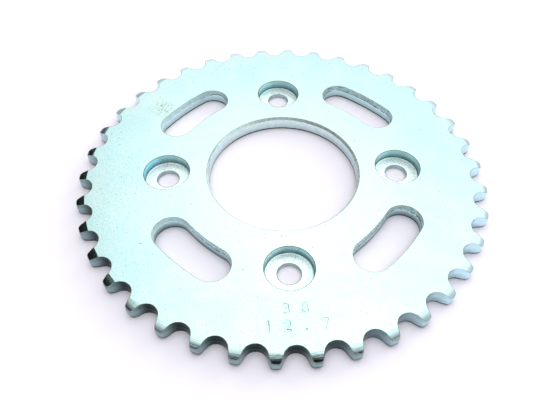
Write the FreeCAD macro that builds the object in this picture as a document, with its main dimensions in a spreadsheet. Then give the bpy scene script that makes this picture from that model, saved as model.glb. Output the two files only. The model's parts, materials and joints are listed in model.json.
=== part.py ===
import FreeCAD, Part
import math
import os

import Sketcher
from FreeCAD import Placement, Rotation, Vector

# A bare rear sprocket for a small motorcycle: one flat steel plate, blanked, turned, drilled and
# counterbored. Millimetres and degrees. The origin is the centre of the bore on the rear face,
# which bolts against the wheel hub, and +Z points out of the front face.

DIMENSIONS = (
    ("tooth_count", 38, "teeth round the ring"),
    ("chain_pitch", 12.7, "half-inch chain"),
    ("roller_diameter", 7.77, "roller of a 420 chain"),
    ("plate_thickness", 5.8, "goes between the inner plates of a 420 chain"),
    ("outside_diameter", 157.2, "over the tooth tips"),
    ("tip_round", 1.2, "rounding of the corners of the tooth tips"),
    ("clocking", 0.35, "turn of the blanked teeth and slots from the drilled bolt holes"),
    ("relief_width", 3.3, "radial width of the turned tooth side relief"),
    ("relief_depth", 1.2, "depth of the side relief at the tooth tip, on each face"),
    ("edge_roll", 0.3, "rounding that blanking leaves round the rear of the teeth, slots and bore"),
    ("flare_width", 0.25, "how far the torn part of a blanked wall leans back by the front face"),
    ("flare_depth", 2.3, "height of the torn part of the tooth and slot walls"),
    ("bore_diameter", 58, "fits over the hub spigot"),
    ("bore_flare_width", 0.65, "how far the torn part of the bore's wall leans back"),
    ("bore_flare_depth", 0.9, "height of the torn part of the bore's wall"),
    ("bolt_count", 4, "bolt holes"),
    ("bolt_circle", 90, "diameter of the bolt circle"),
    ("bolt_hole_diameter", 8.5, "clearance for M8"),
    ("counterbore_diameter", 17.5, "seat of the nut or bolt head"),
    ("counterbore_depth", 4.0, "below the front face"),
    ("counterbore_corner", 0.7, "fillet between the counterbore's wall and its floor"),
    ("counterbore_break", 0.1, "chamfer of the counterbore's front edge"),
    ("slot_count", 4, "lightening slots"),
    ("slot_width", 13.2, "across the round ends"),
    ("slot_span", 20, "between the centres of the round ends"),
    ("slot_bend", 70, "radius of the slot's curved centre line"),
    ("slot_distance", 49.9, "from the bore's centre to the middle of the slot's centre line"),
    ("slot_start", 46.4, "angle of the first slot from the first bolt hole, before the clocking"),
)

VALUES = {alias: number for alias, number, _ in DIMENSIONS}
NODE = "sprocket_plate"
SHEET = "Dimensions"
OVERCUT = 1.0
TOLERANCE = 1e-4


def make_sheet(doc):
    """Put the driving dimensions in a spreadsheet and return it."""
    sheet = doc.addObject("Spreadsheet::Sheet", SHEET)
    for row, (alias, value, note) in enumerate(DIMENSIONS, start=1):
        sheet.set("A%d" % row, alias)
        sheet.set("B%d" % row, str(value))
        sheet.set("C%d" % row, note)
        sheet.setAlias("B%d" % row, alias)
    doc.recompute()
    return sheet


def cell(alias):
    """The expression that reads one cell of the sheet."""
    return "<<%s>>.%s" % (SHEET, alias)


def origin_plane(body, role):
    """One of the body's own origin planes or axes, by its role."""
    return next(item for item in body.Origin.OriginFeatures if item.Role == role)


def new_sketch(body, name, role="XY_Plane"):
    """An empty sketch on one of the body's origin planes."""
    sketch = body.newObject("Sketcher::SketchObject", name)
    sketch.AttachmentSupport = [(origin_plane(body, role), "")]
    sketch.MapMode = "FlatFace"
    return sketch


def turn_sketch(sketch, expression, angle):
    """Turn a sketch about Z by an angle bound to the sheet."""
    sketch.AttachmentOffset = Placement(Vector(), Rotation(Vector(0, 0, 1), angle))
    sketch.setExpression("AttachmentOffset.Rotation.Angle", expression)


def raise_sketch(sketch, expression, height):
    """Lift a sketch along Z by a height bound to the sheet."""
    sketch.AttachmentOffset = Placement(Vector(0, 0, height), Rotation())
    sketch.setExpression("AttachmentOffset.Base.z", expression)


def constrain(sketch, *definition):
    """Add one geometric constraint."""
    return sketch.addConstraint(Sketcher.Constraint(*definition))


def dimension(sketch, name, expression, *definition):
    """Add one dimensional constraint and bind it to the sheet."""
    index = sketch.addConstraint(Sketcher.Constraint(*definition))
    sketch.renameConstraint(index, name)
    sketch.setExpression("Constraints." + name, expression)
    return index


def circle(sketch, radius):
    """A circle about the sketch's origin."""
    index = sketch.addGeometry(Part.Circle(Vector(), Vector(0, 0, 1), radius))
    constrain(sketch, "Coincident", index, 3, -1, 1)
    return index


def check_cut(doc, feature):
    """Recompute and stop if a cutting feature has taken nothing away."""
    doc.recompute()
    if feature.Shape.Volume > feature.BaseFeature.Shape.Volume - TOLERANCE:
        raise RuntimeError("%s cuts nothing" % feature.Name)


def polar_pattern(doc, body, name, feature, occurrences):
    """Repeat a feature round the body's Z axis."""
    pattern = body.newObject("PartDesign::PolarPattern", name)
    pattern.Originals = [feature]
    pattern.Axis = (origin_plane(body, "Z_Axis"), [""])
    pattern.Angle = 360
    pattern.Occurrences = int(VALUES[occurrences])
    pattern.setExpression("Occurrences", cell(occurrences))
    body.Tip = pattern
    doc.recompute()
    return pattern


def add_blank(doc, body):
    """The round blank, as thick as the plate."""
    sketch = new_sketch(body, "blank_outline")
    index = circle(sketch, VALUES["outside_diameter"] / 2)
    dimension(sketch, "outside", cell("outside_diameter"), "Diameter", index, VALUES["outside_diameter"])
    blank = body.newObject("PartDesign::Pad", "blank")
    blank.Profile = sketch
    blank.setExpression("Length", cell("plate_thickness"))
    doc.recompute()


def add_bore(doc, body):
    """The bore that the hub spigot goes through."""
    sketch = new_sketch(body, "bore_outline")
    index = circle(sketch, VALUES["bore_diameter"] / 2)
    dimension(sketch, "bore", cell("bore_diameter"), "Diameter", index, VALUES["bore_diameter"])
    through_pocket(doc, body, "bore", sketch)


def through_pocket(doc, body, name, sketch):
    """Cut a sketch that lies on the rear face right through the plate."""
    pocket = body.newObject("PartDesign::Pocket", name)
    pocket.Profile = sketch
    pocket.Type = "ThroughAll"
    pocket.Reversed = True
    check_cut(doc, pocket)
    return pocket


def gap_values():
    """Pitch radius, seating radius, seating angle and flank radius of the smallest ISO 606 gap."""
    teeth = VALUES["tooth_count"]
    roller = VALUES["roller_diameter"]
    pitch_radius = VALUES["chain_pitch"] / (2 * math.sin(math.pi / teeth))
    return pitch_radius, 0.505 * roller, 140 - 90 / teeth, 0.12 * roller * (teeth + 2)


def flank_end(centre, radius, height, side):
    """The angle at which a flank arc reaches a height, left (-1) or right (+1) of the gap."""
    rise = math.asin((height - centre.y) / radius)
    return math.pi - rise if side > 0 else rise


def add_tooth_gaps(doc, body):
    """One gap between teeth, a roller seat with two flank arcs, repeated round the ring."""
    sketch = new_sketch(body, "gap_outline")
    turn_sketch(sketch, cell("clocking"), VALUES["clocking"])
    pitch_radius, seat_radius, seat_angle, flank_radius = gap_values()
    top = VALUES["outside_diameter"] / 2 + OVERCUT
    half = math.radians(seat_angle / 2)
    up = Vector(0, 0, 1)
    seat_centre = Vector(0, pitch_radius, 0)
    seat = Part.ArcOfCircle(Part.Circle(seat_centre, up, seat_radius), 1.5 * math.pi - half,
                            1.5 * math.pi + half)
    sketch.addGeometry(seat)
    ends = []
    for side in (-1, 1):
        reach = seat_radius + flank_radius
        centre = seat_centre + Vector(side * reach * math.sin(half), -reach * math.cos(half), 0)
        start = math.atan2(seat_centre.y - centre.y, seat_centre.x - centre.x)
        stop = flank_end(centre, flank_radius, top, side)
        ends.append(centre + Vector(math.cos(stop), math.sin(stop), 0) * flank_radius)
        sketch.addGeometry(Part.ArcOfCircle(Part.Circle(centre, up, flank_radius),
                                            min(start, stop), max(start, stop)))
    sketch.addGeometry(Part.LineSegment(ends[0], ends[1]))
    # Seat 0, left flank 1, right flank 2, closing line 3; point 1 starts an edge and 2 ends it.
    left_top, left_foot = (1, 2) if flank_starts_at_top(sketch, 1) else (2, 1)
    right_top, right_foot = (1, 2) if flank_starts_at_top(sketch, 2) else (2, 1)
    constrain(sketch, "PointOnObject", 0, 3, -2)
    constrain(sketch, "Tangent", 0, 1, 1, left_foot)
    constrain(sketch, "Tangent", 0, 2, 2, right_foot)
    constrain(sketch, "Coincident", 1, left_top, 3, 1)
    constrain(sketch, "Coincident", 2, right_top, 3, 2)
    constrain(sketch, "Horizontal", 3)
    constrain(sketch, "Equal", 1, 2)
    teeth = cell("tooth_count")
    roller = cell("roller_diameter")
    dimension(sketch, "pitch_radius", "%s / (2 * sin(180 / %s))" % (cell("chain_pitch"), teeth),
              "DistanceY", -1, 1, 0, 3, pitch_radius)
    dimension(sketch, "seat_radius", "0.505 * %s" % roller, "Radius", 0, seat_radius)
    dimension(sketch, "seat_angle", "140 - 90 / %s" % teeth, "Angle", 0, math.radians(seat_angle))
    dimension(sketch, "flank_radius", "0.12 * %s * (%s + 2)" % (roller, teeth), "Radius", 1, flank_radius)
    dimension(sketch, "gap_top", "%s / 2 + %s" % (cell("outside_diameter"), OVERCUT),
              "DistanceY", -1, 1, 3, 1, top)
    gap = through_pocket(doc, body, "tooth_gap", sketch)
    polar_pattern(doc, body, "tooth_gaps", gap, "tooth_count")


def flank_starts_at_top(sketch, index):
    """Whether the first end of an arc is its higher one."""
    arc = sketch.Geometry[index]
    return arc.StartPoint.y > arc.EndPoint.y


def add_slots(doc, body):
    """One gently curved lightening slot with round ends, repeated round the plate."""
    sketch = new_sketch(body, "slot_outline")
    turn_sketch(sketch, "%s + %s - 90" % (cell("slot_start"), cell("clocking")),
                VALUES["slot_start"] + VALUES["clocking"] - 90)
    radius = VALUES["slot_width"] / 2
    bend = VALUES["slot_bend"]
    up = Vector(0, 0, 1)
    middle = Vector(0, VALUES["slot_distance"] - bend, 0)
    swing = math.asin(VALUES["slot_span"] / 2 / bend)
    quarter = math.pi / 2
    left = middle + Vector(-math.sin(swing), math.cos(swing), 0) * bend
    right = middle + Vector(math.sin(swing), math.cos(swing), 0) * bend
    sketch.addGeometry(Part.ArcOfCircle(Part.Circle(left, up, radius), quarter + swing, 3 * quarter + swing))
    sketch.addGeometry(Part.ArcOfCircle(Part.Circle(right, up, radius), -quarter - swing, quarter - swing))
    for side in (-radius, radius):
        sketch.addGeometry(Part.ArcOfCircle(Part.Circle(middle, up, bend + side), quarter - swing,
                                            quarter + swing))
    # Left end 0, right end 1, inner side 2, outer side 3; point 1 starts an arc and 2 ends it.
    constrain(sketch, "Tangent", 0, 2, 2, 2)
    constrain(sketch, "Tangent", 0, 1, 3, 2)
    constrain(sketch, "Tangent", 1, 1, 2, 1)
    constrain(sketch, "Tangent", 1, 2, 3, 1)
    constrain(sketch, "Coincident", 2, 3, 3, 3)
    constrain(sketch, "PointOnObject", 3, 3, -2)
    constrain(sketch, "Horizontal", 0, 3, 1, 3)
    dimension(sketch, "end_radius", "%s / 2" % cell("slot_width"), "Radius", 0, radius)
    dimension(sketch, "span", cell("slot_span"), "DistanceX", 0, 3, 1, 3, VALUES["slot_span"])
    dimension(sketch, "outer_side", "%s + %s / 2" % (cell("slot_bend"), cell("slot_width")), "Radius", 3,
              bend + radius)
    dimension(sketch, "distance", "%s - %s" % (cell("slot_bend"), cell("slot_distance")),
              "DistanceY", 3, 3, -1, 1, -middle.y)
    slot = through_pocket(doc, body, "slot", sketch)
    polar_pattern(doc, body, "slots", slot, "slot_count")


def edges_where(shape, test):
    """Names of the edges of a shape that pass a test."""
    return ["Edge%d" % (i + 1) for i, edge in enumerate(shape.Edges) if test(edge)]


def level_edge(edge, height):
    """Whether an edge lies flat at a height."""
    box = edge.BoundBox
    return abs(box.ZMin - height) < TOLERANCE and abs(box.ZMax - height) < TOLERANCE


def edge_reach(edge):
    """The least and greatest distance of an edge from the Z axis, sampled along it."""
    reaches = [math.hypot(point.x, point.y) for point in edge.discretize(9)]
    return min(reaches), max(reaches)


def dress_edges(doc, body, kind, name, sizes, test, flip=False):
    """Round or chamfer the edges of the body that pass a test. Sizes pairs properties with cells.

    A chamfer with two sizes lays the first on the other face when it is flipped.
    """
    base = body.Tip
    names = edges_where(base.Shape, test)
    if not names:
        raise RuntimeError("%s finds no edges" % name)
    feature = body.newObject("PartDesign::" + kind, name)
    feature.Base = (base, names)
    if len(sizes) > 1:
        feature.ChamferType = "Two distances"
        feature.FlipDirection = flip
    for size, alias in sizes:
        feature.setExpression(size, cell(alias))
    doc.recompute()
    return feature


def round_tips(doc, body):
    """The rounded corners of the tooth tips."""
    outer = VALUES["outside_diameter"] / 2

    def is_corner(edge):
        return edge.BoundBox.ZLength > OVERCUT and abs(edge_reach(edge)[0] - outer) < TOLERANCE

    dress_edges(doc, body, "Fillet", "tip_rounding", [("Radius", "tip_round")], is_corner)


def roll_rear_edges(doc, body):
    """The rounding that blanking leaves round the rear of the teeth, slots and bore."""
    dress_edges(doc, body, "Fillet", "rear_edge_roll", [("Radius", "edge_roll")],
                lambda edge: level_edge(edge, 0))


def flare_front_edges(doc, body):
    """The torn part of the blanked walls, which leans back as it nears the front face."""
    front = VALUES["plate_thickness"]
    bore = VALUES["bore_diameter"] / 2

    def on_bore(edge):
        return edge_reach(edge)[1] < bore + OVERCUT

    dress_edges(doc, body, "Chamfer", "blanked_flare", [("Size", "flare_width"), ("Size2", "flare_depth")],
                lambda edge: level_edge(edge, front) and not on_bore(edge), flip=True)
    dress_edges(doc, body, "Chamfer", "bore_flare",
                [("Size", "bore_flare_width"), ("Size2", "bore_flare_depth")],
                lambda edge: level_edge(edge, front) and on_bore(edge))
    check_flare(body, front, bore + VALUES["bore_flare_width"])


def check_flare(body, front, reach):
    """Stop if the flare's two distances are the wrong way round."""
    rims = [edge for edge in body.Tip.Shape.Edges if level_edge(edge, front)]
    if not any(abs(edge_reach(edge)[1] - reach) < TOLERANCE for edge in rims):
        raise RuntimeError("the bore's flare is not %.2f mm from the axis" % reach)


def add_side_reliefs(doc, body):
    """The turned relief on both sides of the teeth, an arc as large as the chain's pitch."""
    thickness = cell("plate_thickness")
    depth = cell("relief_depth")
    front = VALUES["plate_thickness"]
    rear_sketch = relief_sketch(body, "rear_relief_outline", 0.0, VALUES["relief_depth"])
    constrain(rear_sketch, "PointOnObject", 2, 2, -1)
    dimension(rear_sketch, "tip", depth, "DistanceY", -1, 1, 3, 1, VALUES["relief_depth"])
    front_sketch = relief_sketch(body, "front_relief_outline", front, front - VALUES["relief_depth"])
    dimension(front_sketch, "face", thickness, "DistanceY", -1, 1, 2, 2, front)
    dimension(front_sketch, "tip", "%s - %s" % (thickness, depth), "DistanceY", -1, 1, 3, 1,
              front - VALUES["relief_depth"])
    for name, sketch in (("rear_relief", rear_sketch), ("front_relief", front_sketch)):
        relief = body.newObject("PartDesign::Groove", name)
        relief.Profile = sketch
        relief.ReferenceAxis = (sketch, ["V_Axis"])
        relief.Angle = 360
        check_cut(doc, relief)


def relief_sketch(body, name, face, tip):
    """The half section of one side relief: its arc, a line beyond the tips and a line along the face."""
    sketch = new_sketch(body, name, "XZ_Plane")
    outer = VALUES["outside_diameter"] / 2
    inner = outer - VALUES["relief_width"]
    beyond = outer + OVERCUT
    start = Vector(inner, face, 0)
    through = Vector(outer, tip, 0)
    arc = relief_arc(start, through, VALUES["chain_pitch"], beyond)
    starts_inside = arc.StartPoint.x < outer
    far = arc.EndPoint if starts_inside else arc.StartPoint
    sketch.addGeometry(arc)
    sketch.addGeometry(Part.LineSegment(far, Vector(beyond, face, 0)))
    sketch.addGeometry(Part.LineSegment(Vector(beyond, face, 0), start))
    sketch.addGeometry(Part.Point(through), True)
    # Arc 0, outer line 1, face line 2, tooth tip 3; point 1 starts an edge and 2 ends it.
    near_end, far_end = (1, 2) if starts_inside else (2, 1)
    constrain(sketch, "Coincident", 0, far_end, 1, 1)
    constrain(sketch, "Coincident", 1, 2, 2, 1)
    constrain(sketch, "Coincident", 2, 2, 0, near_end)
    constrain(sketch, "Vertical", 1)
    constrain(sketch, "Horizontal", 2)
    constrain(sketch, "PointOnObject", 3, 1, 0)
    outside = "%s / 2" % cell("outside_diameter")
    dimension(sketch, "arc", cell("chain_pitch"), "Radius", 0, VALUES["chain_pitch"])
    dimension(sketch, "inner", "%s - %s" % (outside, cell("relief_width")), "DistanceX", -1, 1, 2, 2, inner)
    dimension(sketch, "outer", outside, "DistanceX", -1, 1, 3, 1, outer)
    dimension(sketch, "beyond", "%s + %s" % (outside, OVERCUT), "DistanceX", -1, 1, 1, 2, beyond)
    return sketch


def relief_arc(start, through, radius, beyond):
    """The arc from the face at the relief's inner edge, through the tooth tip and on past it."""
    chord = through - start
    to_middle = Vector(-chord.y, chord.x, 0).normalize()
    if to_middle.y * chord.y < 0:
        to_middle = to_middle * -1
    centre = (start + through) * 0.5 + to_middle * math.sqrt(radius ** 2 - (chord.Length / 2) ** 2)
    rise = math.sqrt(radius ** 2 - (beyond - centre.x) ** 2)
    far = Vector(beyond, centre.y - math.copysign(rise, chord.y), 0)
    angles = sorted(math.atan2(point.y - centre.y, point.x - centre.x) for point in (start, far))
    return Part.ArcOfCircle(Part.Circle(centre, Vector(0, 0, 1), radius), angles[0], angles[1])


def add_bolt_holes(doc, body):
    """One counterbored bolt hole from the front face, repeated round the bolt circle."""
    sketch = new_sketch(body, "bolt_centre")
    raise_sketch(sketch, cell("plate_thickness"), VALUES["plate_thickness"])
    reach = VALUES["bolt_circle"] / 2
    radius = VALUES["bolt_hole_diameter"] / 2
    index = sketch.addGeometry(Part.Circle(Vector(reach, 0, 0), Vector(0, 0, 1), radius))
    constrain(sketch, "PointOnObject", index, 3, -1)
    dimension(sketch, "circle_radius", "%s / 2" % cell("bolt_circle"), "DistanceX", -1, 1, index, 3, reach)
    dimension(sketch, "hole", cell("bolt_hole_diameter"), "Diameter", index, 2 * radius)
    doc.recompute()
    hole = body.newObject("PartDesign::Hole", "bolt_hole")
    hole.Profile = sketch
    doc.recompute()
    hole.Threaded = False
    hole.DepthType = "ThroughAll"
    hole.HoleCutType = "Counterbore"
    hole.HoleCutCustomValues = True
    hole.setExpression("Diameter", cell("bolt_hole_diameter"))
    hole.setExpression("HoleCutDiameter", cell("counterbore_diameter"))
    hole.setExpression("HoleCutDepth", cell("counterbore_depth"))
    check_cut(doc, hole)
    polar_pattern(doc, body, "bolt_holes", hole, "bolt_count")


def dress_counterbores(doc, body):
    """The fillet round each counterbore's floor and the chamfer round its mouth."""
    front = VALUES["plate_thickness"]
    seat = front - VALUES["counterbore_depth"]
    wall = math.pi * VALUES["counterbore_diameter"]

    def is_rim(edge, height):
        return level_edge(edge, height) and abs(edge.Length - wall) < TOLERANCE * 10

    dress_edges(doc, body, "Fillet", "counterbore_floor", [("Radius", "counterbore_corner")],
                lambda edge: is_rim(edge, seat))
    dress_edges(doc, body, "Chamfer", "counterbore_mouth", [("Size", "counterbore_break")],
                lambda edge: is_rim(edge, front))


def make_plate(doc):
    """The whole sprocket, which is one piece of steel."""
    body = doc.addObject("PartDesign::Body", NODE)
    body.Label = NODE
    body.Placement = Placement()
    add_blank(doc, body)
    add_bore(doc, body)
    add_tooth_gaps(doc, body)
    round_tips(doc, body)
    add_slots(doc, body)
    roll_rear_edges(doc, body)
    flare_front_edges(doc, body)
    add_side_reliefs(doc, body)
    add_bolt_holes(doc, body)
    dress_counterbores(doc, body)
    return body


def check(doc, bodies):
    """Stop if any object failed or any sub-part is missing or unsound."""
    for item in doc.Objects:
        bad = {"Invalid", "Error"} & set(item.State)
        if bad:
            raise RuntimeError("%s is %s" % (item.Name, ", ".join(bad)))
    for body in bodies:
        if body.Shape.isNull() or not body.Shape.isValid():
            raise RuntimeError("%s has no sound shape" % body.Label)
        if len(body.Shape.Solids) != 1:
            raise RuntimeError("%s is not one solid" % body.Label)


def main():
    doc = FreeCAD.newDocument("rear_sprocket")
    make_sheet(doc)
    bodies = [make_plate(doc)]
    doc.recompute()
    check(doc, bodies)
    os.makedirs("parts", exist_ok=True)
    for body in bodies:
        body.Shape.exportStep(os.path.join("parts", body.Label + ".step"))
        box = body.Shape.optimalBoundingBox(False)
        print("%s %.3f x %.3f x %.3f mm, %.1f mm3, faces %d" % (
            body.Label, box.XLength, box.YLength, box.ZLength, body.Shape.Volume, len(body.Shape.Faces)))


main()
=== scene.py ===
import json
import math

import bpy
import numpy as np
from mathutils import Matrix, Vector, kdtree, noise
from mathutils.geometry import delaunay_2d_cdt


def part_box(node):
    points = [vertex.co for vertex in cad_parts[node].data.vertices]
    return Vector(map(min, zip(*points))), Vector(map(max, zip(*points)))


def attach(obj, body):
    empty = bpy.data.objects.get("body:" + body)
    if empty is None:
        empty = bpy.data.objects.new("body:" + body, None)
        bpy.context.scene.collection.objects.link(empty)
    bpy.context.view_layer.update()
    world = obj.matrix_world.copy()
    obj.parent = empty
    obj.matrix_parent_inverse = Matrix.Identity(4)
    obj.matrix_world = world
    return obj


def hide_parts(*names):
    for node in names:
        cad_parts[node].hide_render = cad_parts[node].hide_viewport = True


# The looks of a bare rear sprocket of bright zinc-plated steel, lying on its rear face.
# Lengths are millimetres, and the sizes of round things are radii. Meshes, materials and the camera are
# made in metres.

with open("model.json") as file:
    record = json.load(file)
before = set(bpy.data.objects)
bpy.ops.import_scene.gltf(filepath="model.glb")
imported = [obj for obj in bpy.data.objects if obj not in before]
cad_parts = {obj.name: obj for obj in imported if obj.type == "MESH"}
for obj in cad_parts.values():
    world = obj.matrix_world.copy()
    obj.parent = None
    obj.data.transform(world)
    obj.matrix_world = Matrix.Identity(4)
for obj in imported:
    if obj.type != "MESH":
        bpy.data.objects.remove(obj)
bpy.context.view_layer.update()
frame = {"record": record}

MM = 0.001
NODE = "sprocket_plate"
LOW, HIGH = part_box(NODE)
MOUNTS = {mount["name"]: mount for mount in frame["record"]["mounts"]}

THICKNESS = (HIGH.z - LOW.z) / MM
OUTSIDE = HIGH.x / MM
BORE = MOUNTS["bore"]["dims"]["r_mm"]
BOLT_CIRCLE = MOUNTS["bolt_holes"]["dims"]["pcd_mm"] / 2
BOLT_COUNT = MOUNTS["bolt_holes"]["dims"]["count"]
BOLT_HOLE = MOUNTS["bolt_holes"]["dims"]["hole_r_mm"]
SEAT_HEIGHT = MOUNTS["bolt_seat"]["pos_m"][2] / MM

# Other sizes of the plate, which agree with the CAD
TEETH = 38
PITCH = 12.7
ROLLER = 7.77
CLOCKING = math.radians(0.35)
TIP_ROUND = 1.2
RELIEF_WIDTH = 3.3
RELIEF_START = OUTSIDE - RELIEF_WIDTH
RELIEF_DEPTH = 1.2
EDGE_ROLL = 0.3
FLARE_WIDTH = 0.25
FLARE_DEPTH = 2.3
BORE_FLARE_WIDTH = 0.65
BORE_FLARE_DEPTH = 0.9
COUNTERBORE = 8.75
COUNTERBORE_CORNER = 0.7
COUNTERBORE_BREAK = 0.1
SLOT_COUNT = 4
SLOT_RADIUS = 6.6
SLOT_SPAN = 20.0
SLOT_BEND = 70.0
SLOT_DISTANCE = 49.9
SLOT_START = math.radians(46.4)

# Spacing of the mesh's points
TOOTH_STEP = 0.34
SLOT_STEP = 0.36
ROUND_STEP = 0.42
SUPPORT = 0.12
GRID = 2.6
RING_GAP = 0.5
RIM_MARGIN = 0.3
ROLL_STEPS = 3
CORNER_STEPS = 4
SMOOTH_BANDS = 6
TORN_BANDS = 6
HOLE_BANDS = 4
SEAT_BANDS = 5
COUNTERBORE_BANDS = 5
SHARP_ANGLE = math.radians(38)

# The blanked walls: a ledge where the tear begins, and the tear's ribs and chips above it
LEDGE = 0.07
LEDGE_RISE = 0.25
SCUFF = 0.35
TOOTH_WANDER = 0.3
BORE_WANDER = 0.3
SLOT_WANDER = 0.5
TEAR_DEPTH = 0.14
TEAR_SHOWN = 0.55
TEAR_GAIN = 0.9
RIB_STRETCH = (0.55, 0.55, 2.0)
RIB_SHARE = 0.6
CHIP_STRETCH = (1.0, 1.0, 1.0)
CHIP_START = 0.15
CHIP_SHARE = 2.5
TORN_SIDE = (0.8, 0.6)
BORE_TORN_FROM = (-14, 12)
HOLE_BURR = 0.2

# The stamped numerals
STAMP_HEIGHT = 3.4
STAMP_ADVANCE = 6.0
STAMP_HALF_WIDTH = 0.42
STAMP_SLOPE = 0.22
STAMP_DEPTH = 0.13
STAMP_GRID = 0.14
STAMP_STEP = 0.08
# Each line: its numerals, its middle and its lean in degrees
STAMP_LINES = (
    ("38", (0.9, -60.2), 1.5),
    ("12.7", (1.0, -66.1), 1.0),
)


# Outlines

def arc(centre, radius, start, stop, step):
    """Points along an arc from one angle to another, without the last one."""
    count = max(2, math.ceil(abs(stop - start) * radius / step))
    angles = start + (stop - start) * np.arange(count) / count
    return np.column_stack((centre[0] + radius * np.cos(angles), centre[1] + radius * np.sin(angles)))


def turned(points, angle):
    """Plane points turned about the axis."""
    turn = np.array([[math.cos(angle), math.sin(angle)], [-math.sin(angle), math.cos(angle)]])
    return points @ turn


class Loop:
    """A closed outline, anticlockwise, with a unit vector into the metal at each point."""

    def __init__(self, points, hole=True):
        ahead = np.roll(points, -1, axis=0) - np.roll(points, 1, axis=0)
        outward = np.column_stack((ahead[:, 1], -ahead[:, 0])) / np.linalg.norm(ahead, axis=1)[:, None]
        self.points = points
        self.hole = hole
        self.into = outward if hole else -outward

    def sweep(self, profile):
        """The outline at each (inset, height) of a profile that runs from the rear to the front."""
        rows = []
        for inset, height in profile:
            plane = self.points + self.into * np.reshape(inset, (-1, 1))
            rows.append(np.column_stack((plane, np.broadcast_to(height, len(plane)))))
        return np.array(rows)


def tooth_loop():
    """The ring of teeth, with rounded tip corners. The factors are those of the smallest ISO 606 gap."""
    pitch_radius = PITCH / (2 * math.sin(math.pi / TEETH))
    seat_radius = 0.505 * ROLLER
    half_seat = math.radians(140 - 90 / TEETH) / 2
    flank_radius = 0.12 * ROLLER * (TEETH + 2)
    reach = seat_radius + flank_radius
    centre = np.array([reach * math.sin(half_seat), pitch_radius - reach * math.cos(half_seat)])
    far = np.hypot(*centre)
    inner = flank_radius - TIP_ROUND
    opening = math.acos(((OUTSIDE - TIP_ROUND) ** 2 - far ** 2 - inner ** 2) / (2 * far * inner))
    top = math.atan2(centre[1], centre[0]) + opening
    corner = centre + inner * np.array([math.cos(top), math.sin(top)])
    land_end = math.atan2(corner[1], corner[0])
    down = -math.pi / 2
    half_gap = np.vstack((
        arc((0, 0), OUTSIDE, math.pi / 2 - math.pi / TEETH, land_end, TOOTH_STEP),
        arc(corner, TIP_ROUND, land_end, top, TOOTH_STEP),
        arc(centre, flank_radius, top, math.pi / 2 + half_seat, TOOTH_STEP),
        arc((0, pitch_radius), seat_radius, down + half_seat, down, TOOTH_STEP),
    ))
    bottom = np.array([[0, pitch_radius - seat_radius]])
    other_half = half_gap[:0:-1] * (-1, 1)
    gap = np.vstack((half_gap, bottom, other_half))
    pitch_angle = 2 * math.pi / TEETH
    return Loop(np.vstack([turned(gap, CLOCKING + k * pitch_angle) for k in range(TEETH)]), hole=False)


def slot_loops():
    """The lightening slots, gently curved, with round ends."""
    middle = np.array([0, SLOT_DISTANCE - SLOT_BEND])
    swing = math.asin(SLOT_SPAN / 2 / SLOT_BEND)
    aside = np.array([SLOT_BEND * math.sin(swing), 0])
    ahead = np.array([0, SLOT_BEND * math.cos(swing)])
    up, down = math.pi / 2, 1.5 * math.pi
    outline = np.vstack((
        arc(middle + ahead + aside, SLOT_RADIUS, -up - swing, up - swing, SLOT_STEP),
        arc(middle, SLOT_BEND + SLOT_RADIUS, up - swing, up + swing, SLOT_STEP),
        arc(middle + ahead - aside, SLOT_RADIUS, up + swing, down + swing, SLOT_STEP),
        arc(middle, SLOT_BEND - SLOT_RADIUS, up + swing, up - swing, SLOT_STEP),
    ))
    angles = [SLOT_START - math.pi / 2 + CLOCKING + k * 2 * math.pi / SLOT_COUNT for k in range(SLOT_COUNT)]
    return [Loop(turned(outline, angle)) for angle in angles]


def round_loop(centre, radius, step):
    """A round hole."""
    return Loop(arc(centre, radius, 0, 2 * math.pi, step))


def bolt_loops():
    """The bolt holes, with as many points as their counterbores need."""
    step = ROUND_STEP * BOLT_HOLE / COUNTERBORE
    angles = [k * 2 * math.pi / BOLT_COUNT for k in range(BOLT_COUNT)]
    middles = [(BOLT_CIRCLE * math.cos(angle), BOLT_CIRCLE * math.sin(angle)) for angle in angles]
    return [round_loop(middle, BOLT_HOLE, step) for middle in middles]


# Sections through the plate's edges

def relief(radius):
    """How far the turned side relief lies below the face, by distance from the axis.

    Its section is an arc whose radius is the chain's pitch.
    """
    chord = np.array([OUTSIDE - RELIEF_START, RELIEF_DEPTH])
    length = np.hypot(*chord)
    stand_off = math.sqrt(PITCH ** 2 - (length / 2) ** 2)
    centre_x = RELIEF_START + chord[0] / 2 - chord[1] / length * stand_off
    centre_y = chord[1] / 2 + chord[0] / length * stand_off
    depth = centre_y - np.sqrt(PITCH ** 2 - (radius - centre_x) ** 2)
    return np.where(radius > RELIEF_START, depth, 0.0)


def quarter(size, steps):
    """(inset, drop) pairs of a rounded edge, from the wall to the face."""
    angles = [k * math.pi / 2 / steps for k in range(steps + 1)]
    return [(size * (1 - math.cos(angle)), size * (1 - math.sin(angle))) for angle in angles]


def wall(bottom, top, count):
    """Evenly spaced heights up a wall, at no inset."""
    return [(0.0, bottom + (top - bottom) * k / count) for k in range(count)]


def speckle(points, stretch, octaves=2):
    """Smooth noise at each point, about -1 to 1, with the points stretched first."""
    return np.array([noise.fractal(Vector(point), 1.0, 2.0, octaves) for point in points * stretch])


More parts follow.
